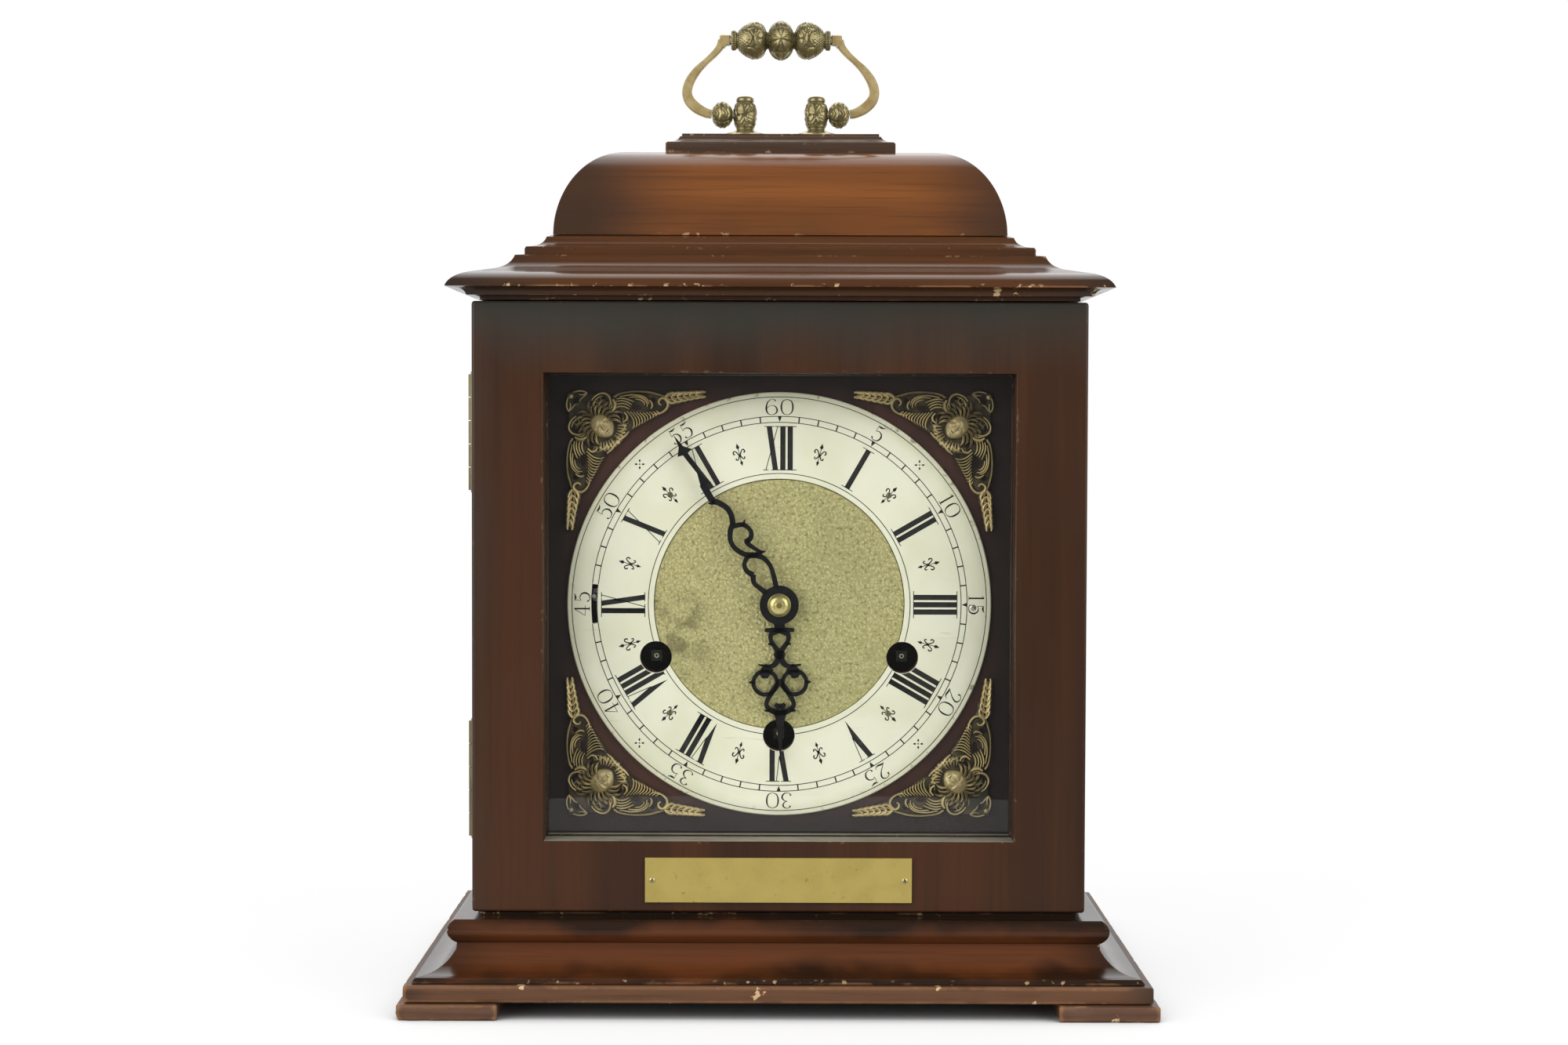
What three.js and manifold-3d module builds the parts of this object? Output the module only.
// Three-train chiming bracket clock: moulded wooden case with a bell top and carrying handle,
// full-width glazed front door, square dial with cast corner pieces, and a spring-driven movement.
// Millimetres. +X to the right seen from the front, the dial faces -Y, +Z up.
// Origin: centre of the footprint, on the surface that the feet stand on.

import * as THREE from 'three';
import { mergeVertices } from 'three/addons/utils/BufferGeometryUtils.js';
import Module from 'manifold-3d';

const wasm = await Module();
wasm.setup();

// ---- driving dimensions -------------------------------------------------------------------
const GAP = 0.3; // clearance between pieces that touch
const CASE_WIDTH = 234;
const CASE_DEPTH = 154;
const HALF_W = CASE_WIDTH / 2;
const HALF_D = CASE_DEPTH / 2;
const FRONT = -HALF_D; // front face of the door

const FOOT = { height: 6.2, length: 37.8, overhang: 25.65 };
const BASE_BOARD = { top: 12.6, overhang: 23.3 };
const CASE_BOTTOM = 35.9;
const CASE_TOP = 269.3;
const NECK = -2.85; // the shadow gap above and below the door steps in by this much
const WALL = 10;
const BOARD = 10;
const INNER_W = HALF_W - WALL;

const DOOR = { thick: 17.8, openHalfW: 89.7, openBottom: 63.6, openTop: 241.8, rebate: 4, lip: 11 };
const GLASS = { thick: 2 };
const BACK_DOOR = { thick: 9.5, clearance: 0.7, border: 28, sunk: 2 };

const DIAL_Z = 152.6;
const DIAL_BOARD = { front: -51.5, thick: 6 };
const RING = { outer: 82.5, inner: 48.8, thick: 1.8 };
const CENTRE_DISC = { radius: 48.5, thick: 1.2 };
const WINDING_HOLE = 6.2;
const SLOT = { radius: 72, length: 15.2, width: 2.4 };
const SPANDREL = { corner: 83, thick: 1.8, relief: 3.4 };

const HANDLE = { postX: 14.5, pivotZ: 348.5, budX: 23.7, gripZ: 378.6, pinRadius: 1.6 };
const PLINTH = { halfW: 46, halfD: 20, bottom: 331.2, step: 335.4, top: 339.4 };

const MINUTE_ANGLE = 328; // degrees clockwise from twelve
const HOUR_ANGLE = 179.5;
const HAND_THICK = 1;
const HANDS = { minuteBack: -57.6, hourBack: -55 };
const NUT = { back: -58.9, front: -61.6 };
const CENTRE_ARBOR_TIP = -62;
const PIPES = { bore: 1.5, cannon: 2.3, hourBore: 2.8, hour: 3.4 };

const HINGE = { leaf: 1, leafGap: 0.4, knuckle: 1.9, pin: 0.9, width: 10, length: 45 };
const HINGE_CENTRES = { upper: 219.2, lower: 85 };

const PLATE = { halfW: 74, bottom: 66.5, top: 206, thick: 2.5, front: -38, back: -2 };
const BARREL = { radius: 21.5, teeth: 36, module: 4 / 3, front: -32.6, back: -10 };

// arbor centres in the dial plane, from the dial centre
const ARBOR = {
  going: [0, -51.2],
  strike: [-48, -20.7],
  chime: [48, -20.7],
};
const WINDING = Object.keys(ARBOR); // the three that a key reaches through the dial

// ---- finishes -------------------------------------------------------------------------------
const FINISH = {
  mahogany: { color: 0x5a2c1a, roughness: 0.3, metalness: 0 },
  darkWood: { color: 0x2a1712, roughness: 0.4, metalness: 0 },
  plainWood: { color: 0x8a6340, roughness: 0.7, metalness: 0 },
  antiqueBrass: { color: 0x7a6a3a, roughness: 0.4, metalness: 0.9 },
  brass: { color: 0xb89a4a, roughness: 0.35, metalness: 0.9 },
  silvered: { color: 0xd9d6c2, roughness: 0.45, metalness: 0.4 },
  gilt: { color: 0x9a8f55, roughness: 0.7, metalness: 0.6 },
  blackSteel: { color: 0x151514, roughness: 0.5, metalness: 0.6 },
  steel: { color: 0x9a9a98, roughness: 0.35, metalness: 0.9 },
  glass: { color: 0xe8f0ee, roughness: 0.05, metalness: 0 },
};

const clock = new THREE.Group();

function add(name, geometry, finish, x = 0, y = 0, z = 0) {
  const material = new THREE.MeshStandardMaterial(FINISH[finish]);
  const mesh = new THREE.Mesh(geometry, material);
  mesh.name = name;
  mesh.position.set(x, y, z);
  clock.add(mesh);
  return mesh;
}

// ---- working with solids --------------------------------------------------------------------

// Shared vertices are merged, and the faces are turned outwards where a revolve left them inward.
function weld(geometry) {
  const bare = geometry.index ? geometry.toNonIndexed() : geometry.clone();
  bare.deleteAttribute('normal');
  bare.deleteAttribute('uv');
  const merged = mergeVertices(bare, 1e-4);
  const index = [];
  const source = merged.index.array;
  for (let i = 0; i < source.length; i += 3) {
    const [a, b, c] = [source[i], source[i + 1], source[i + 2]];
    if (a !== b && b !== c && c !== a) index.push(a, b, c);
  }
  merged.setIndex(index);
  if (volume(merged) < 0) {
    for (let i = 0; i < index.length; i += 3) [index[i], index[i + 1]] = [index[i + 1], index[i]];
    merged.setIndex(index);
  }
  return merged;
}

function volume(geometry) {
  const [a, b, c] = [new THREE.Vector3(), new THREE.Vector3(), new THREE.Vector3()];
  const index = geometry.index.array;
  let total = 0;
  for (let i = 0; i < index.length; i += 3) {
    a.fromBufferAttribute(geometry.attributes.position, index[i]);
    b.fromBufferAttribute(geometry.attributes.position, index[i + 1]);
    c.fromBufferAttribute(geometry.attributes.position, index[i + 2]);
    total += a.dot(b.cross(c)) / 6;
  }
  return total;
}

function toSolid(geometry) {
  const merged = weld(geometry);
  const vertProperties = Float32Array.from(merged.attributes.position.array);
  const triVerts = Uint32Array.from(merged.index.array);
  return new wasm.Manifold(new wasm.Mesh({ numProp: 3, vertProperties, triVerts }));
}

function toGeometry(solid) {
  const mesh = solid.getMesh();
  const geometry = new THREE.BufferGeometry();
  geometry.setAttribute('position', new THREE.BufferAttribute(mesh.vertProperties, 3));
  geometry.setIndex(new THREE.BufferAttribute(mesh.triVerts, 1));
  return geometry;
}

function join(...geometries) {
  return toGeometry(geometries.map(toSolid).reduce((a, b) => a.add(b)));
}

function cut(geometry, ...tools) {
  return toGeometry(tools.map(toSolid).reduce((a, b) => a.subtract(b), toSolid(geometry)));
}

// ---- basic forms ----------------------------------------------------------------------------

function block(x0, x1, y0, y1, z0, z1) {
  const box = new THREE.BoxGeometry(x1 - x0, y1 - y0, z1 - z0);
  return box.translate((x0 + x1) / 2, (y0 + y1) / 2, (z0 + z1) / 2);
}

// A cylinder along Y.
function rod(radius, y0, y1, sides = 16, x = 0, z = 0) {
  const cylinder = new THREE.CylinderGeometry(radius, radius, y1 - y0, sides);
  return cylinder.translate(x, (y0 + y1) / 2, z);
}

// An outline drawn as seen from the front, given thickness from its back face towards the viewer.
function plateOf(shape, back, thick, curveSegments = 12) {
  const plate = new THREE.ExtrudeGeometry(shape, { depth: thick, bevelEnabled: false, curveSegments });
  return plate.rotateX(Math.PI / 2).translate(0, back, 0);
}

// A moulding worked round all four sides and mitred at the corners. The path runs from the bottom
// to the top, as [projection, height], and both ends close with a flat face.
function mitred(path, halfW, halfD, divisions = 6) {
  const rings = path.getPoints(divisions);
  const positions = [];
  for (const { x: p, y: z } of rings) {
    const [w, d] = [halfW + p, halfD + p];
    positions.push(-w, -d, z, w, -d, z, w, d, z, -w, d, z);
  }
  const index = [0, 2, 1, 0, 3, 2];
  for (let ring = 0; ring < rings.length - 1; ring++) {
    for (let side = 0; side < 4; side++) {
      const [a, b] = [ring * 4 + side, ring * 4 + (side + 1) % 4];
      index.push(a, b, b + 4, a, b + 4, a + 4);
    }
  }
  const last = (rings.length - 1) * 4;
  index.push(last, last + 1, last + 2, last, last + 2, last + 3);
  const geometry = new THREE.BufferGeometry();
  geometry.setAttribute('position', new THREE.Float32BufferAttribute(positions, 3));
  geometry.setIndex(index);
  return geometry;
}

// A turned piece: profile points are [radius, distance along the axis].
function turned(points, sides, axis = 'y') {
  const lathe = new THREE.LatheGeometry(points.map(([r, h]) => new THREE.Vector2(r, h)), sides);
  if (axis === 'z') lathe.rotateX(Math.PI / 2);
  if (axis === 'x') lathe.rotateZ(-Math.PI / 2);
  return weld(lathe);
}

function circle(radius, x = 0, y = 0) {
  return new THREE.Path().absarc(x, y, radius, 0, Math.PI * 2, true);
}

function disc(radius) {
  return new THREE.Shape().absarc(0, 0, radius, 0, Math.PI * 2, false);
}

// ---- case -----------------------------------------------------------------------------------

function addBase() {
  const { height, length, overhang } = FOOT;
  const [outX, outY] = [HALF_W + overhang, HALF_D + overhang];
  const sides = [['front', -1], ['rear', 1]];
  for (const [end, sy] of sides) {
    for (const [hand, sx] of [['left', -1], ['right', 1]]) {
      const foot = block(-length / 2, length / 2, -length / 2, length / 2, 0, height - GAP);
      add(`foot_${end}_${hand}`, foot, 'mahogany', sx * (outX - length / 2), sy * (outY - length / 2));
    }
  }
  const { top, overhang: p } = BASE_BOARD;
  add('base_board', block(-HALF_W - p, HALF_W + p, -HALF_D - p, HALF_D + p, height, top), 'mahogany');

  const path = new THREE.Path();
  path.moveTo(20.4, top + GAP);
  path.lineTo(20.4, 13.4);
  path.lineTo(19.2, 14.8);
  path.quadraticCurveTo(9.5, 15.2, 5.4, 23.2); // the long cove
  path.lineTo(5.2, 25.4);
  path.bezierCurveTo(8, 26.8, 10.8, 31.6, 6, 34.4); // the nose above it
  path.lineTo(NECK, 34.4);
  path.lineTo(NECK, CASE_BOTTOM - GAP);
  add('base_moulding', mitred(path, HALF_W, HALF_D), 'mahogany');
}

function addCarcass() {
  const front = FRONT + DOOR.thick + 1;
  const pockets = hingePockets(-HALF_W, front, 1);
  const left = block(-HALF_W, -INNER_W, front, HALF_D, CASE_BOTTOM, CASE_TOP);
  add('side_left', cut(left, ...pockets, rearPocket()), 'mahogany');
  add('side_right', block(INNER_W, HALF_W, front, HALF_D, CASE_BOTTOM, CASE_TOP), 'mahogany');
  const inner = INNER_W - GAP;
  add('bottom_board', block(-inner, inner, front, HALF_D, CASE_BOTTOM, CASE_BOTTOM + BOARD), 'plainWood');
  add('top_board', block(-inner, inner, front, HALF_D, CASE_TOP - BOARD, CASE_TOP), 'plainWood');
}

function addTop() {
  const cornice = new THREE.Path();
  cornice.moveTo(NECK, CASE_TOP + GAP);
  cornice.lineTo(NECK, 270.9);
  cornice.lineTo(1.7, 271.2);
  cornice.quadraticCurveTo(2.6, 273.6, 5, 273.8); // small hollow under the lip
  cornice.lineTo(9.1, 274.2);
  cornice.quadraticCurveTo(7.4, 279.2, -2, 280.6); // rounded lip
  cornice.lineTo(-6.2, 281.5);
  cornice.quadraticCurveTo(-13.2, 282.6, -15, 287.4); // main hollow
  cornice.lineTo(-18.4, 287.9);
  cornice.lineTo(-18.4, 290);
  cornice.lineTo(-18.9, 290.9);
  cornice.quadraticCurveTo(-25, 291.4, -26.2, 295.2); // upper hollow
  cornice.lineTo(-28, 295.9);
  add('cornice_moulding', mitred(cornice, HALF_W, HALF_D), 'mahogany');

  const bell = new THREE.Path();
  bell.moveTo(-28.5, 295.9 + GAP);
  bell.lineTo(-28.6, 298.5);
  bell.bezierCurveTo(-29.2, 311.5, -38, 329, -54.5, PLINTH.bottom - GAP);
  add('bell_top', mitred(bell, HALF_W, HALF_D, 10), 'mahogany');

  const plinth = new THREE.Path();
  plinth.moveTo(0, PLINTH.bottom);
  plinth.lineTo(0, PLINTH.step);
  plinth.lineTo(-2, PLINTH.step + 0.4);
  plinth.quadraticCurveTo(-4.4, 336.4, -4.9, 338.6);
  plinth.lineTo(-4.9, PLINTH.top);
  add('handle_plinth', mitred(plinth, PLINTH.halfW, PLINTH.halfD, 4), 'darkWood');
}

// ---- hinges ---------------------------------------------------------------------------------

const FRONT_AXIS = { x: -HALF_W - 1.5, y: FRONT + DOOR.thick + 0.5 };

// Two pockets for the leaves, cut into the edge of a board whose face lies at y; side is +1 where
// the board is behind the face and -1 where it is in front.
function hingePockets(edge, y, side) {
  const depth = HINGE.leaf;
  const [y0, y1] = side > 0 ? [y - 1, y + depth] : [y - depth, y + 1];
  return Object.values(HINGE_CENTRES).map((z) => {
    const half = HINGE.length / 2 + GAP;
    return block(edge - 4, edge + HINGE.width, y0, y1, z - half, z + half);
  });
}

// Half of a butt hinge: a flat leaf, and every other one of the five knuckles round the pin.
function hingeLeaf(leafEnd, y0, y1, knuckles, pin) {
  const step = HINGE.length / 5;
  const half = HINGE.length / 2;
  const parts = [];
  let leaf = block(0, leafEnd, y0, y1, -half, half);
  if (leafEnd < 0) leaf = block(leafEnd, 0, y0, y1, -half, half);
  const room = HINGE.knuckle + GAP;
  const clearances = [];
  for (let i = 0; i < 5; i++) {
    const z = -half + (i + 0.5) * step;
    const ring = new THREE.CylinderGeometry(HINGE.knuckle, HINGE.knuckle, step - GAP, 6);
    ring.rotateX(Math.PI / 2).translate(0, 0, z);
    if (knuckles.includes(i)) parts.push(ring);
    else clearances.push(block(-room, room, -room, room, z - (step + GAP) / 2, z + (step + GAP) / 2));
  }
  const bore = new THREE.CylinderGeometry(HINGE.pin + 0.2, HINGE.pin + 0.2, HINGE.length + 2, 6);
  bore.rotateX(Math.PI / 2);
  const shaped = cut(leaf, ...clearances);
  if (pin) {
    const shaft = new THREE.CylinderGeometry(HINGE.pin, HINGE.pin, HINGE.length + 1.6, 6);
    return join(shaped, ...parts, shaft.rotateX(Math.PI / 2));
  }
  return cut(join(shaped, ...parts), bore);
}

function addFrontHinges() {
  const { x, y } = FRONT_AXIS;
  for (const [level, z] of Object.entries(HINGE_CENTRES)) {
    const leafEnd = -HALF_W - x + HINGE.width - GAP;
    const [near, far] = [HINGE.leafGap / 2, HINGE.leafGap / 2 + HINGE.leaf];
    add(`${level}_case_leaf`, hingeLeaf(leafEnd, near, far, [0, 2, 4], true), 'brass', x, y, z);
    add(`${level}_door_leaf`, hingeLeaf(leafEnd, -far, -near, [1, 3], false), 'brass', x, y, z);
  }
}

// ---- front door -----------------------------------------------------------------------------

function addFrontDoor() {
  const back = FRONT + DOOR.thick;
  const { openHalfW: w, openBottom: z0, openTop: z1, rebate: r, lip } = DOOR;
  const bottom = CASE_BOTTOM + GAP;
  const frame = block(-HALF_W, HALF_W, FRONT, back, bottom, CASE_TOP - GAP);
  const opening = block(-w, w, FRONT - 1, back + 1, z0, z1);
  const rebate = block(-w - r, w + r, FRONT + lip, back + 1, z0 - r, z1 + r);
  add('door_frame', cut(frame, opening, rebate, ...hingePockets(-HALF_W, back, -1)), 'mahogany');

  const seat = r - GAP;
  const glassFront = FRONT + lip + GAP;
  const glassBack = glassFront + GLASS.thick;
  add('door_glass', block(-w - seat, w + seat, glassFront, glassBack, z0 - seat, z1 + seat), 'glass');

  const bead = block(-w - seat, w + seat, glassBack + GAP, back, z0 - seat, z1 + seat);
  const sight = block(-w + 0.6, w - 0.6, glassBack, back + 1, z0 + 0.6, z1 - 0.6);
  add('glazing_bead', cut(bead, sight), 'darkWood');

  const plate = block(-50.9, 50.9, FRONT - 1.1, FRONT - GAP, 40.1, 57.3);
  add('presentation_plate', plate, 'brass');
}

// ---- back door ------------------------------------------------------------------------------

const REAR_AXIS = { x: -INNER_W - 0.2, y: HALF_D + 1.6, z: 152.6 };

function rearPocket() {
  return block(-INNER_W - 8, -INNER_W + 1, HALF_D - HINGE.leaf, HALF_D + 1,
    REAR_AXIS.z - HINGE.length / 2 - GAP, REAR_AXIS.z + HINGE.length / 2 + GAP);
}

function addBackDoor() {
  const { thick, clearance, border, sunk } = BACK_DOOR;
  const w = INNER_W - clearance;
  const [bottom, top] = [CASE_BOTTOM + BOARD + clearance, CASE_TOP - BOARD - clearance];
  const panel = block(-w, w, HALF_D - thick, HALF_D, bottom, top);
  const field = block(
    -w + border, w - border, HALF_D - sunk, HALF_D + 1, bottom + border, top - border,
  );
  const half = HINGE.length / 2 + GAP;
  const { z } = REAR_AXIS;
  const pocket = block(-w - 1, -w + 8, HALF_D - HINGE.leaf, HALF_D + 1, z - half, z + half);
  add('back_door', cut(panel, field, pocket), 'mahogany');

  const knob = [[0, 0], [3.2, 0], [3.2, 1], [1.8, 2], [1.8, 5], [4.6, 7], [5, 9], [3.6, 10.6], [0, 11]];
  add('back_door_knob', turned(knob, 10), 'brass', w - 14, HALF_D + GAP, z);

  // the leaves lie flat in the outer faces, so the hinge opens all the way round
  const { x, y } = REAR_AXIS;
  const [y0, y1] = [HALF_D - HINGE.leaf + GAP - y, HALF_D - y];
  const leafEnd = 7;
  const caseLeaf = hingeLeaf(-leafEnd, y0, y1, [0, 2, 4], true);
  const doorLeaf = hingeLeaf(leafEnd, y0, y1, [1, 3], false);
  // each knuckle stands on its leaf by a short web beside the pin
  const web = (side, knuckles) => knuckles.map((i) => {
    const step = HINGE.length / 5;
    const zc = -HINGE.length / 2 + (i + 0.5) * step;
    const near = HINGE.pin + 0.4;
    const [x0, x1] = side < 0 ? [-HINGE.knuckle, -near] : [near, HINGE.knuckle];
    return block(x0, x1, y0, 0, zc - (step - GAP) / 2, zc + (step - GAP) / 2);
  });
  add('back_case_leaf', join(caseLeaf, ...web(-1, [0, 2, 4])), 'brass', x, y, z);
  add('back_door_leaf', join(doorLeaf, ...web(1, [1, 3])), 'brass', x, y, z);
}

// ---- carrying handle ------------------------------------------------------------------------

function addHandle() {
  const { postX, pivotZ, budX, gripZ, pinRadius } = HANDLE;
  const seat = PLINTH.top + GAP - pivotZ;
  const postProfile = [
    [0, seat], [9.4, seat], [9.2, seat + 0.8], [6.4, seat + 1.6], [3.7, seat + 2.6], [3.7, seat + 3.6],
    [4.6, seat + 5.2], [4.9, seat + 9], [4.6, seat + 12.4], [3.4, seat + 13.6], [3.5, seat + 14.4],
    [3.3, seat + 16], [0, seat + 16.2],
  ];
  const bore = rod(pinRadius + GAP, -7, 7, 12).rotateZ(Math.PI / 2);
  const post = cut(turned(postProfile, 10, 'z'), bore);
  add('handle_post_left', post, 'antiqueBrass', -postX, 0, pivotZ);
  add('handle_post_right', post.clone(), 'antiqueBrass', postX, 0, pivotZ);

  const centreline = new THREE.CatmullRomCurve3([
    [budX + 3.2, 0.4], [33.9, 3.1], [37.3, 6.5], [38, 10.8], [36.2, 15.6], [32.2, 20.1],
    [27.8, 24.2], [24.6, 27.4], [23.4, gripZ - pivotZ],
  ].map(([x, z]) => new THREE.Vector3(x, 0, z)));
  const section = new THREE.Shape();
  section.moveTo(-1.9, -2.1);
  section.lineTo(1.9, -2.1);
  section.lineTo(1.9, 2.1);
  section.lineTo(-1.9, 2.1);
  const arm = new THREE.ExtrudeGeometry(section, { extrudePath: centreline, steps: 9 });
  const rise = gripZ - pivotZ;
  const elbow = block(20.3 + GAP, 25.4, -1.9, 1.9, rise - 2.2, rise + 2.2);
  const bud = turned([
    [0, -4.1], [2.6, -4.1], [4.4, -2.6], [5.5, 0], [4.8, 2.4], [2.6, 4.1], [0, 4.1],
  ], 8, 'x').translate(budX, 0, 0);
  const pin = rod(pinRadius, -budX, -postX + 3, 12).rotateZ(Math.PI / 2); // runs into the post
  const half = toSolid(join(arm, elbow, bud, pin));
  const other = half.mirror([1, 0, 0]);
  const core = rod(1.8, -22, 22, 10).rotateZ(Math.PI / 2).translate(0, 0, rise);
  const bail = toGeometry(half.add(other).add(toSolid(core)));
  add('handle_bail', bail, 'antiqueBrass', 0, 0, pivotZ);

  const outer = [
    [20.3, 3.4], [19.2, 3.9], [17.4, 3.7], [16.6, 5], [14.2, 6.6], [10.8, 7.8], [8.5, 7.5], [6.8, 5.6],
    [5.4, 3.3], [4.2, 4.8], [2.4, 7.4],
  ];
  const [capEnd] = outer[0];
  const profile = [[2.1, -capEnd]];
  for (const [x, r] of outer) profile.push([r, -x]);
  profile.push([8.2, 0]);
  for (const [x, r] of [...outer].reverse()) profile.push([r, x]);
  profile.push([2.1, capEnd], [2.1, -capEnd]);
  add('handle_grip', turned(profile, 10, 'x'), 'antiqueBrass', 0, 0, gripZ);
}

// ---- dial -----------------------------------------------------------------------------------

function slotOutline(width, radius, length) {
  const half = length / 2 / radius;
  const shape = new THREE.Shape();
  shape.absarc(0, 0, radius + width / 2, Math.PI - half, Math.PI + half, false);
  shape.absarc(0, 0, radius - width / 2, Math.PI + half, Math.PI - half, true);
  return shape;
}

function addDial() {
  const front = DIAL_BOARD.front;
  const back = front + DIAL_BOARD.thick;
  const wide = INNER_W - GAP;
  const holes = WINDING.map((name) => rod(WINDING_HOLE, front - 3, back + 1, 14, ...ARBOR[name]));
  const centreHole = rod(PIPES.hour + 0.8, front - 3, back + 1, 12);
  const slot = plateOf(slotOutline(SLOT.width, SLOT.radius, SLOT.length), back + 1, 12, 3);
  const bottom = CASE_BOTTOM + BOARD + GAP - DIAL_Z;
  const top = CASE_TOP - BOARD - GAP - DIAL_Z;
  const board = block(-wide, wide, front, back, bottom, top);
  add('dial_board', cut(board, ...holes, slot, centreHole), 'darkWood', 0, 0, DIAL_Z);

  const annulus = disc(RING.outer);
  annulus.holes.push(circle(RING.inner));
  const ring = plateOf(annulus, front - GAP, RING.thick, 20);
  add('chapter_ring', cut(ring, ...holes, slot), 'silvered', 0, 0, DIAL_Z);

  const centre = plateOf(disc(CENTRE_DISC.radius), front - GAP, CENTRE_DISC.thick, 14);
  add('dial_centre', cut(centre, ...holes, centreHole), 'gilt', 0, 0, DIAL_Z);
}

// Half of a corner piece, from the corner ball along one arm to the clasp on the diagonal.
// u runs along the dial edge away from the corner, v into the dial.
function spandrelOutline() {
  const half = new THREE.Path();
  half.moveTo(0, 0);
  half.quadraticCurveTo(8, -0.6, 16, 0.2);
  half.quadraticCurveTo(18, 3, 20.5, 2); // dip between the scroll and the wing
  half.quadraticCurveTo(28, -0.8, 38, 2.2);
  half.quadraticCurveTo(46, 0.2, 53, 0.4); // leaf plume
  half.quadraticCurveTo(54.4, 2, 52.6, 3.2);
  half.quadraticCurveTo(47, 3.8, 41.4, 5.6);
  half.quadraticCurveTo(40.4, 9.6, 35.8, 9.6); // scroll at the end of the wing
  half.quadraticCurveTo(31, 11.4, 27, 15);
  half.quadraticCurveTo(24.6, 15.2, 23.4, 18);
  half.lineTo(20.6, 20.6);
  const points = half.getPoints(2);
  const mirrored = points.slice(1, -1).reverse().map(({ x, y }) => new THREE.Vector2(y, x));
  return new THREE.Shape([...points, ...mirrored]);
}

function addSpandrels() {
  const { corner, thick, relief } = SPANDREL;
  const outline = spandrelOutline();
  const piercings = [[34.6, 3.8, 1.2], [22, 9.2, 1.9], [27.8, 7, 1.3], [4.2, 4.2, 1]];
  for (const [u, v, r] of piercings) {
    outline.holes.push(circle(r, u, v));
    if (u !== v) outline.holes.push(circle(r, v, u));
  }
  const head = new THREE.SphereGeometry(1, 8, 5).scale(5.6, relief, 6.4).rotateY(-Math.PI / 4);
  head.translate(13.4, 0, 13.4);
  const ball = new THREE.SphereGeometry(1.7, 6, 3).translate(1.9, -thick / 2, 1.9);
  const plate = plateOf(outline, 0, thick, 3);
  const flat = block(-5, 60, 0, 10, -5, 60);
  const piece = toSolid(join(plate, head, ball)).subtract(toSolid(flat));
  const places = [
    ['upper_left', 1, -1], ['upper_right', -1, -1], ['lower_left', 1, 1], ['lower_right', -1, 1],
  ];
  for (const [place, sx, sz] of places) {
    let solid = piece;
    if (sx < 0) solid = solid.mirror([1, 0, 0]);
    if (sz < 0) solid = solid.mirror([0, 0, 1]);
    const [x, z] = [-sx * corner, DIAL_Z - sz * corner];
    add(`spandrel_${place}`, toGeometry(solid), 'antiqueBrass', x, DIAL_BOARD.front - GAP, z);
  }
}

// ---- hands ----------------------------------------------------------------------------------

// A stroke of a pierced hand: a smooth line through the points, as wide as given at each end and
// in the middle. x is to the right of the hand, y towards its tip.
function stroke(points, widths, steps = 4) {
  const curve = new THREE.SplineCurve(points.map(([x, y]) => new THREE.Vector2(x, y)));
  const [left, right] = [[], []];
  for (let i = 0; i <= steps; i++) {
    const t = i / steps;
    const [a, b, c] = widths;
    const width = t < 0.5 ? a + (b - a) * 2 * t : b + (c - b) * (2 * t - 1);
    const point = curve.getPoint(t);
    const tangent = curve.getTangent(t);
    const side = new THREE.Vector2(-tangent.y, tangent.x).multiplyScalar(width / 2);
    left.push(point.clone().add(side));
    right.unshift(point.clone().sub(side));
  }
  return plateOf(new THREE.Shape([...right, ...left]), 0, HAND_THICK);
}

function ringStroke(x, y, radius, width) {
  const shape = new THREE.Shape().absarc(x, y, radius + width / 2, 0, Math.PI * 2, false);
  shape.holes.push(circle(radius - width / 2, x, y));
  return plateOf(shape, 0, HAND_THICK, 5);
}

function outlineOf(points) {
  return plateOf(new THREE.Shape(points.map(([x, y]) => new THREE.Vector2(x, y))), 0, HAND_THICK);
}

function minuteHand() {
  const strokes = [
    stroke([[2.6, 6.2], [4.2, 10.9], [5.1, 14.8], [4.4, 18.8], [2.4, 21.4]], [1.5, 1.2, 1.6]),
    stroke([[2.8, 21], [-0.2, 22.3], [-3.1, 20.6], [-3.6, 17.7], [-2.4, 15.2]], [1.6, 1.2, 1.6]),
    stroke([[-2.4, 15.4], [-3.7, 12.6], [-3.1, 10], [-1.8, 6.6]], [1.6, 1.2, 1.6]),
    stroke([[2.2, 21.2], [4.4, 21.2], [6.5, 20.5]], [1.6, 1.2, 0.3], 2),
    stroke([[5.2, 20.7], [3.6, 23.5], [2.4, 26.2], [2.4, 28]], [0.8, 1.2, 1.6]),
    stroke([[1.8, 27.6], [4.4, 28], [5.8, 30.4], [4.6, 33.8], [1, 35.4]], [1.6, 1.2, 1.4]),
    stroke([[4, 33.4], [5, 34.2], [6.2, 35.2]], [1.4, 0.9, 0.3], 2),
    stroke([
      [2, 21.6], [-0.9, 23.7], [-2.9, 27.6], [-2.8, 31.3], [-0.8, 34.5], [1.6, 36.3],
    ], [1.6, 1.3, 1.6], 6),
    stroke([
      [1.2, 35.8], [2.6, 39.4], [2.6, 42.8], [1, 46], [-0.6, 48.6], [-0.4, 55.4],
    ], [1.6, 1.5, 2], 5),
    stroke([[0, 47.2], [-1.4, 47.4], [-2.7, 48]], [1.6, 1, 0.3], 2),
    outlineOf([
      [-1.7, 54.6], [-0.9, 57.4], [0, 60.3], [-0.9, 68.8], [-3.1, 69.5], [-0.8, 72.4], [0, 77.4],
      [0.9, 71.9], [3.1, 69.3], [0.9, 68.6], [1.1, 60.3], [1.6, 57.2], [2.8, 54.2], [0.2, 55],
    ].reverse()),
    ringStroke(0, 0, 5.1, 5),
  ];
  return join(...strokes);
}

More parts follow.
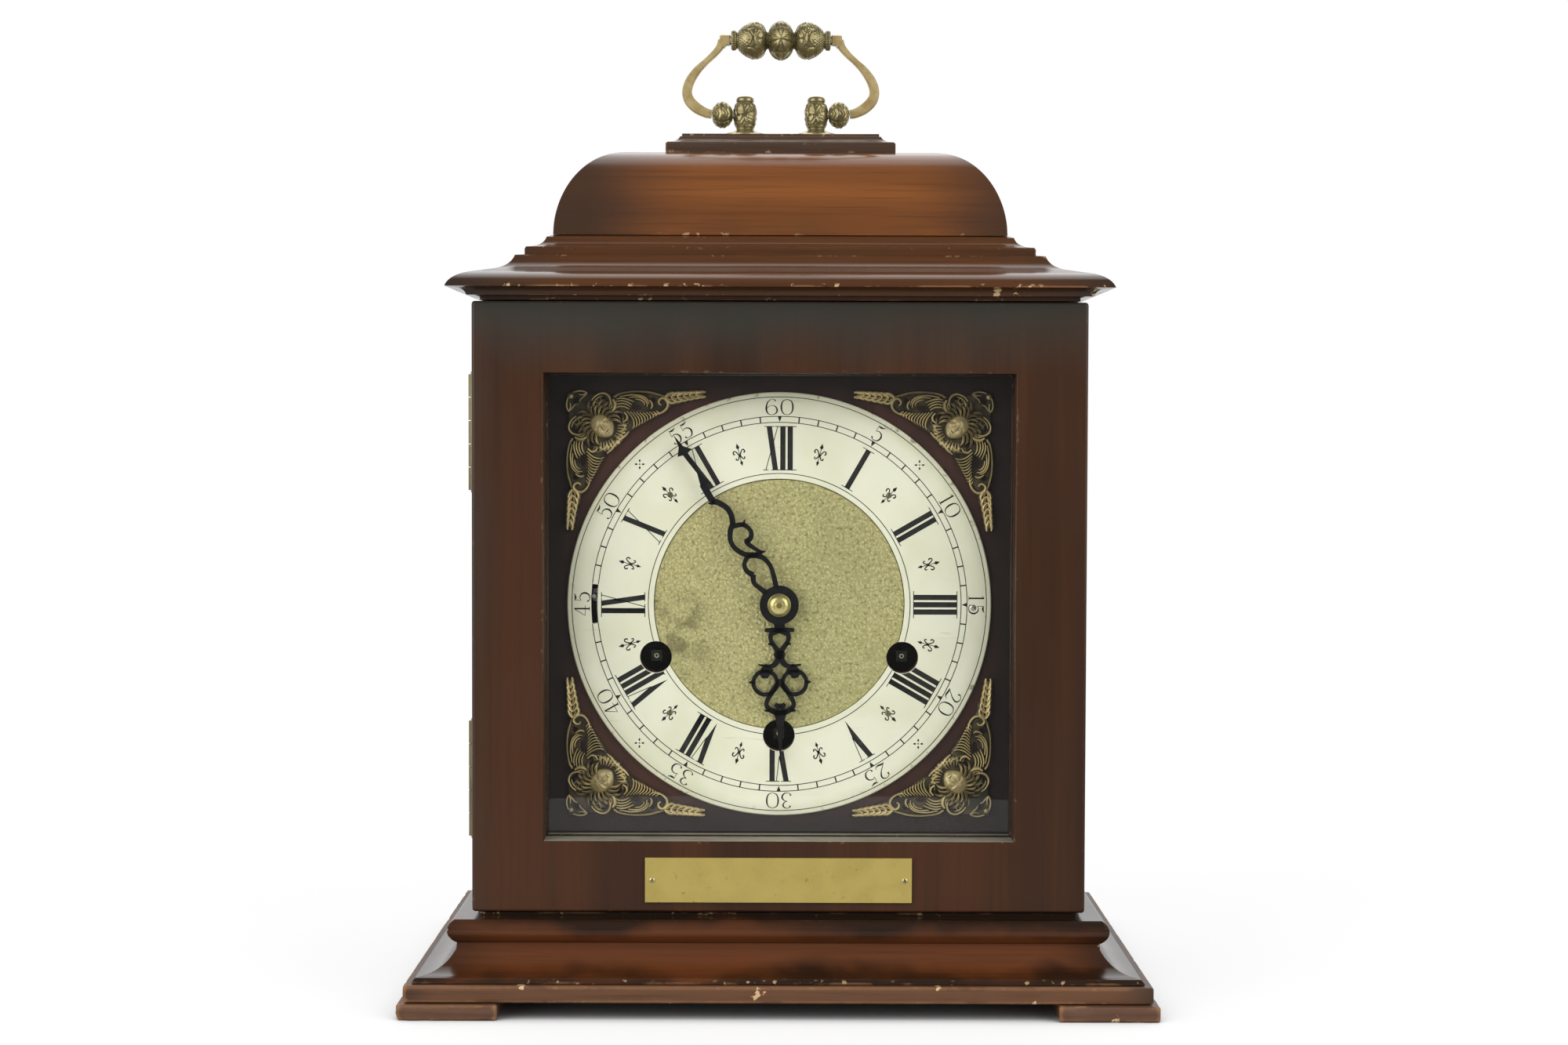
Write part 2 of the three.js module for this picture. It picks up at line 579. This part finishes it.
function hourHand() {
  const strokes = [
    ringStroke(0, 0, 5.5, 3.6),
    stroke([[0, 6.4], [0, 9], [0, 10]], [3, 3, 3], 1),
    stroke([[-5.7, 9.9], [0, 9.9], [5.7, 9.9]], [1, 1.5, 1], 2),
    stroke([[0, 18], [0, 19.6], [0, 21]], [2.6, 3.2, 2], 2),
    stroke([[0, 29], [0, 30], [0, 31]], [2.6, 2, 2.6], 2),
    stroke([[0, 41], [0, 46], [0, 60.3]], [4.6, 2.2, 0.3], 2),
  ];
  for (const s of [-1, 1]) {
    const side = (points) => points.map(([x, y]) => [s * x, y]);
    strokes.push(
      stroke(side([[0, 10], [3.1, 11.4], [3.3, 14], [1.4, 17], [0, 19]]), [1.6, 1.2, 1.6], 3),
      stroke(side([[2.6, 15.2], [3.6, 15.2], [4.6, 15.5]]), [1.4, 0.9, 0.3], 2),
      stroke(side([[0, 19.4], [1.4, 22.6], [3.6, 24], [8.3, 23.4]]), [1.8, 1.5, 0.5], 3),
      stroke(side([[3.8, 24.2], [5.6, 26.4], [5.8, 28.6]]), [2.6, 3.2, 1.6], 2),
      ringStroke(s * 5.7, 30.4, 4.6, 1.3),
      stroke(side([[10, 30.2], [11, 30.2], [12.1, 30.2]]), [1.4, 0.9, 0.3], 2),
      stroke(side([[0.6, 30.6], [3.3, 34.4], [5.3, 38.6], [3.8, 41], [0, 42.4]]), [1.6, 1.2, 1.8]),
      stroke(side([[0, 40.4], [1, 39.6], [1.9, 38.6]]), [2.4, 1.6, 0.8], 2),
      stroke(side([[3.8, 40.9], [5, 41.2], [6.2, 41.3]]), [1.4, 0.9, 0.3], 2),
    );
  }
  return join(...strokes);
}

function addHands() {
  const minute = add('minute_hand', minuteHand(), 'blackSteel', 0, HANDS.minuteBack, DIAL_Z);
  minute.rotation.y = THREE.MathUtils.degToRad(MINUTE_ANGLE);
  const hour = add('hour_hand', hourHand(), 'blackSteel', 0, HANDS.hourBack, DIAL_Z);
  hour.rotation.y = THREE.MathUtils.degToRad(HOUR_ANGLE);
  const { back, front } = NUT;
  const { bore } = PIPES;
  const nut = [
    [bore, back], [4.5, back], [4.5, back - 0.7], [3.9, back - 1.1], [3.3, back - 2.1], [bore, front],
    [bore, back],
  ];
  add('hand_nut', turned(nut, 12), 'brass', 0, 0, DIAL_Z);
}

// ---- wheels and pinions ---------------------------------------------------------------------

// Cut wheel or pinion seen from the front, with one tooth at the given angle.
function toothed(teeth, module, tooth, bore = 0) {
  const pitch = Math.PI * 2 / teeth;
  const radius = teeth * module / 2;
  const [root, tip] = [radius - 1.15 * module, radius + 0.7 * module];
  const points = [];
  for (let i = 0; i < teeth; i++) {
    for (const [r, share] of [[tip, 0], [root, 0.5]]) {
      const angle = tooth + (i + share) * pitch;
      points.push(new THREE.Vector2(r * Math.cos(angle), r * Math.sin(angle)));
    }
  }
  const shape = new THREE.Shape(points);
  if (bore) shape.holes.push(circle(bore));
  return shape;
}

function wheel(teeth, module, tooth, back, thick, bore = 0) {
  return plateOf(toothed(teeth, module, tooth, bore), back, thick, 4);
}

const angleTo = ([x0, z0], [x1, z1]) => Math.atan2(z1 - z0, x1 - x0);
// a wheel has a tooth on the line of centres, and the pinion it drives has a gap there
const gapAt = (angle, teeth) => angle + Math.PI + Math.PI / teeth;

// Where an arbor stands that meshes with two others, given both centre distances.
function between(a, b, fromA, fromB, side) {
  const [dx, dz] = [b[0] - a[0], b[1] - a[1]];
  const span = Math.hypot(dx, dz);
  const along = (fromA ** 2 - fromB ** 2 + span ** 2) / (2 * span);
  const off = side * Math.sqrt(fromA ** 2 - along ** 2);
  return [a[0] + (dx * along - dz * off) / span, a[1] + (dz * along + dx * off) / span];
}

const CENTRE = [0, 0];
const TRAIN = {
  inter: { teeth: 50, pinion: 6, module: 0.84 },
  centre: { teeth: 48, pinion: 10, module: 0.66 },
  third: { teeth: 48, pinion: 8, module: 0.5 },
  escape: { teeth: 15, pinion: 8 },
  cannon: { teeth: 12, module: 0.7 },
  minute: { teeth: 36, pinion: 10 },
  hour: { teeth: 40, module: 0.672 },
};
const reach = (a, b, module) => (a + b) * module / 2;
ARBOR.inter = between(
  CENTRE, ARBOR.going,
  reach(TRAIN.inter.teeth, TRAIN.centre.pinion, TRAIN.inter.module),
  reach(BARREL.teeth, TRAIN.inter.pinion, BARREL.module), -1,
);
ARBOR.third = [0, reach(TRAIN.centre.teeth, TRAIN.third.pinion, TRAIN.centre.module)];
ARBOR.escape = [0, ARBOR.third[1] + reach(TRAIN.third.teeth, TRAIN.escape.pinion, TRAIN.third.module)];
const MOTION_REACH = reach(TRAIN.cannon.teeth, TRAIN.minute.teeth, TRAIN.cannon.module);
ARBOR.minute = [MOTION_REACH * Math.SQRT1_2, MOTION_REACH * Math.SQRT1_2];

function addAt(name, geometry, finish, [x, z]) {
  return add(name, geometry, finish, x, 0, DIAL_Z + z);
}

const PIVOT = { radius: 0.8, length: 2, shake: 0.4 };

// A plain arbor with a thinner pivot at each end that runs in the plates.
function arbor(radius) {
  const [front, back] = [PLATE.front + PLATE.thick, PLATE.back];
  const { radius: r, length, shake } = PIVOT;
  return turned([
    [0, front - length], [r, front - length], [r, front + shake], [radius, front + shake],
    [radius, back - shake], [r, back - shake], [r, back + length], [0, back + length],
  ], 6);
}

// The centre arbor is longer: it runs through the front plate and the dial, and carries the hands.
function centreArbor() {
  const [front, back] = [PLATE.front + PLATE.thick, PLATE.back];
  const { radius: r, length, shake } = PIVOT;
  const [thin, thick] = [1.2, 2];
  return turned([
    [0, CENTRE_ARBOR_TIP], [thin, CENTRE_ARBOR_TIP], [thin, front + shake], [thick, front + shake],
    [thick, back - shake], [r, back - shake], [r, back + length], [0, back + length],
  ], 8);
}

function addGoingTrain() {
  const { inter, centre, third, escape } = TRAIN;
  const toCentre = angleTo(ARBOR.inter, CENTRE);
  const fromGoing = angleTo(ARBOR.going, ARBOR.inter);
  addAt('intermediate_wheel', join(
    wheel(inter.teeth, inter.module, toCentre, -33.6, 1.3),
    wheel(inter.pinion, BARREL.module, gapAt(fromGoing, inter.pinion), -6.8, 3),
    arbor(1.5),
  ), 'brass', ARBOR.inter);

  const up = Math.PI / 2;
  addAt('centre_wheel', join(
    wheel(centre.pinion, inter.module, gapAt(toCentre, centre.pinion), -33.2, 2.1),
    wheel(centre.teeth, centre.module, up, -4.4, 1.3),
    centreArbor(),
  ), 'brass', CENTRE);

  addAt('third_wheel', join(
    wheel(third.pinion, centre.module, gapAt(up, third.pinion), -4, 2.2),
    wheel(third.teeth, third.module, up, -22, 1.2),
    arbor(1.1),
  ), 'brass', ARBOR.third);

  const club = new THREE.Shape();
  const pitch = Math.PI * 2 / escape.teeth;
  const outline = [];
  for (let i = 0; i < escape.teeth; i++) {
    for (const [r, share] of [[5.6, 0], [8, 0.5], [5.6, 0.42]]) {
      const angle = (i + share) * pitch;
      outline.push(new THREE.Vector2(r * Math.cos(angle), r * Math.sin(angle)));
    }
  }
  club.setFromPoints(outline);
  addAt('escape_wheel', join(
    wheel(escape.pinion, third.module, gapAt(up, escape.pinion), -21.4, 2.4),
    plateOf(club, -28, 1),
    arbor(0.9),
  ), 'brass', ARBOR.escape);
}

function addBarrels() {
  const { radius, teeth, module, front, back } = BARREL;
  for (const train of WINDING) {
    const tooth = train === 'going' ? angleTo(ARBOR.going, ARBOR.inter) : 0;
    const drum = turned([[3.3, front], [radius, front], [radius, back], [3.3, back], [3.3, front]], 14);
    const great = wheel(teeth, module, tooth, back + 2.6, 2.8, 3.5);
    addAt(`${train}_barrel`, join(drum, great), 'brass', ARBOR[train]);

    const saw = new THREE.Shape();
    const points = [];
    const clicks = 12;
    for (let i = 0; i < clicks; i++) {
      for (const [r, share] of [[7.6, 0], [9.2, 0.9]]) {
        const angle = (i + share) * Math.PI * 2 / clicks;
        points.push(new THREE.Vector2(r * Math.cos(angle), r * Math.sin(angle)));
      }
    }
    saw.setFromPoints(points);
    const square = new THREE.CylinderGeometry(3, 3, 5.5, 4, 1).rotateY(Math.PI / 4).translate(0, -43.75, 0);
    addAt(`${train}_winding_arbor`, join(
      turned([[0, -41.6], [3, -41.6], [3, PLATE.back - 0.5], [1.6, PLATE.back - 0.5], [1.6, 0], [0, 0]], 8),
      plateOf(saw, PLATE.front - 0.5, 1.8),
      square,
    ), 'steel', ARBOR[train]);
  }
}

function addMotionWork() {
  const { cannon, minute, hour } = TRAIN;
  const toMinute = angleTo(CENTRE, ARBOR.minute);
  const tip = HANDS.minuteBack - HAND_THICK;
  const { bore, cannon: neck } = PIPES;
  const foot = PLATE.front - 0.6;
  const pipe = turned([
    [bore, tip], [neck, tip], [neck, -42.2], [2.7, -42.2], [2.7, foot], [bore, foot], [bore, tip],
  ], 10);
  addAt('cannon_pinion', join(
    wheel(cannon.teeth, cannon.module, toMinute, -40.2, 1.8, 1.7), pipe,
  ), 'brass', CENTRE);

  addAt('minute_wheel', cut(join(
    wheel(minute.teeth, cannon.module, gapAt(toMinute, minute.teeth), -40.4, 1.2),
    wheel(minute.pinion, hour.module, gapAt(toMinute, minute.pinion), -41.6, 2.4),
    rod(2.4, -41.8, -40.6, 10),
  ), rod(1.4, -46, -38, 10)), 'brass', ARBOR.minute);

  addAt('hour_wheel', cut(join(
    wheel(hour.teeth, hour.module, toMinute, -42.8, 1),
    rod(PIPES.hour, HANDS.hourBack - HAND_THICK, -43, 12),
  ), rod(PIPES.hourBore, -60, -40, 12)), 'brass', CENTRE);
}

// Silent and chime selector: a thin arm behind the dial, whose pin shows in the slot.
function addSelector() {
  const back = -44.4;
  const arm = block(-SLOT.radius, -6, back - 0.8, back, -2.6, 2.6);
  const pin = rod(0.85, -54.8, back, 8, -SLOT.radius, 0);
  const end = rod(2.6, back - 0.8, back, 12, -SLOT.radius, 0);
  const eye = rod(8, back - 0.8, back, 14);
  const lever = cut(join(arm, end, eye, pin), rod(5.4, back - 2, back + 1, 14));
  const mesh = addAt('selector_lever', lever, 'steel', CENTRE);
  mesh.rotation.y = THREE.MathUtils.degToRad(2.4);
}

// ---- movement frame -------------------------------------------------------------------------

function pivotHoles(y0, y1) {
  return ['inter', 'third', 'escape'].map((name) => rod(1, y0, y1, 8, ...ARBOR[name]));
}

function plateShape() {
  const { halfW, bottom, top } = PLATE;
  const [z0, z1, r] = [bottom - DIAL_Z, top - DIAL_Z, 22];
  const shape = new THREE.Shape();
  shape.moveTo(-halfW, z0);
  shape.lineTo(halfW, z0);
  shape.lineTo(halfW, z1 - r);
  shape.quadraticCurveTo(halfW, z1, halfW - r, z1);
  shape.lineTo(-halfW + r, z1);
  shape.quadraticCurveTo(-halfW, z1, -halfW, z1 - r);
  return shape;
}

function addMovementFrame() {
  const { thick, front, back, halfW, bottom, top } = PLATE;
  const frontBack = front + thick;
  const arbors = WINDING.map((name) => rod(3.4, front - 1, frontBack + 1, 10, ...ARBOR[name]));
  const stud = rod(1.2, -45, frontBack - 0.5, 8, ...ARBOR.minute);
  const [stubX, stubZ] = [halfW - 9, [bottom + 9 - DIAL_Z, top - 14 - DIAL_Z]];
  const pillars = [];
  const sockets = [];
  for (const x of [-stubX, stubX]) {
    for (const z of stubZ) {
      pillars.push(rod(3.6, frontBack + GAP, back + 0.5, 6, x, z));
      pillars.push(rod(2, front - 2.4, frontBack + 1, 6, x, z));
      sockets.push(rod(2.4, front - 1, frontBack + 1, 8, x, z));
    }
  }
  const frontPlate = cut(
    plateOf(plateShape(), frontBack, thick, 4), ...arbors, ...pivotHoles(front - 1, frontBack + 1),
    rod(1.6, front - 1, frontBack + 1, 10), ...sockets,
  );
  add('front_plate', join(frontPlate, stud), 'brass', 0, 0, DIAL_Z);

  const rear = WINDING.map((name) => rod(1.9, back - 1, back + 4, 10, ...ARBOR[name]));
  const backPlate = cut(
    plateOf(plateShape(), back + thick, thick, 4), ...rear, ...pivotHoles(back - 1, back + 4),
    rod(1, back - 1, back + 4, 8),
  );
  const hammerStud = rod(HAMMERS.stud, back + 1, HAMMERS.back, 8, HAMMERS.x, HAMMERS.z - DIAL_Z);
  add('back_plate', join(backPlate, ...pillars, hammerStud), 'brass', 0, 0, DIAL_Z);
}

function addSeatBoard() {
  const seat = block(-98, 98, -42, 14, CASE_BOTTOM + BOARD + GAP, PLATE.bottom - GAP);
  add('seat_board', seat, 'plainWood');
}

// Platform escapement on the back of the movement: a balance that swings between a plate and a cock.
function addPlatform() {
  const [x, z] = ARBOR.escape;
  const y = PLATE.back + PLATE.thick;
  const base = block(-16, 16, y + GAP, y + 2, -14, 14);
  const foot = block(-16, -11, y + 1, y + 9, -4, 4);
  const cock = block(-16, 4, y + 7.6, y + 9, -3, 3);
  add('platform', cut(
    join(base, foot, cock), rod(0.7, y + 1, y + 12, 10, 0, 0),
  ), 'brass', x, 0, DIAL_Z + z);

  const rim = disc(10);
  rim.holes.push(circle(8.2));
  const spokes = block(-9, 9, y + 4.4, y + 5.4, -0.9, 0.9);
  const [fine, full] = [0.5, 1.1];
  const staff = turned([
    [0, y + 1.4], [fine, y + 1.4], [fine, y + 2.4], [full, y + 2.4],
    [full, y + 7.2], [fine, y + 7.2], [fine, y + 8.6], [0, y + 8.6],
  ], 8);
  const balance = join(plateOf(rim, y + 5.6, 1.4, 6), spokes, staff);
  add('balance_wheel', balance, 'brass', x, 0, DIAL_Z + z);
}

// Tuned rods brazed into a cast block on the floor of the case, and the hour hammers that strike
// a chord on them: three heads on one sleeve that rocks on a stud in the back plate.
const RODS = { lengths: [150, 141, 133, 126, 120], front: 24, spacing: 8, radius: 1.5, x: 84 };
const HAMMERS = { x: 50, z: 84, stud: 1.5, back: 45, rods: [0, 1, 2], headX: 20 };

function addChime() {
  const floor = CASE_BOTTOM + BOARD + GAP;
  const rodZ = floor + 14;
  const rodY = (i) => RODS.front + i * RODS.spacing;
  const rods = RODS.lengths.map((length, i) => {
    const tuned = new THREE.CylinderGeometry(RODS.radius, RODS.radius, length, 6).rotateZ(Math.PI / 2);
    return tuned.translate(RODS.x - length / 2, rodY(i), rodZ);
  });
  add('chime_rods', join(block(80, 98, 18, 62, floor, floor + 20), ...rods), 'steel');

  const sleeve = rod(3, PLATE.back + PLATE.thick + 1, HAMMERS.back - 1, 10);
  const headZ = rodZ + RODS.radius + 0.6 - HAMMERS.z;
  const parts = [sleeve];
  for (const i of HAMMERS.rods) {
    const y = rodY(i);
    const head = new THREE.CylinderGeometry(2.8, 2.8, 7, 8).rotateX(Math.PI / 2);
    parts.push(head.translate(HAMMERS.headX, y, headZ + 3.5));
    parts.push(block(HAMMERS.headX - 1, HAMMERS.headX + 1, y - 1, y + 1, headZ + 6, 1));
    parts.push(block(0, HAMMERS.headX + 1, y - 1, y + 1, -1, 1));
  }
  const hammers = cut(join(...parts), rod(HAMMERS.stud + 0.3, 0, 60, 10));
  add('hour_hammers', hammers, 'brass', HAMMERS.x, 0, HAMMERS.z);
}

addBase();
addCarcass();
addTop();
addFrontHinges();
addFrontDoor();
addBackDoor();
addHandle();
addDial();
addSpandrels();
addHands();
addGoingTrain();
addBarrels();
addMotionWork();
addSelector();
addMovementFrame();
addSeatBoard();
addPlatform();
addChime();

export default clock;
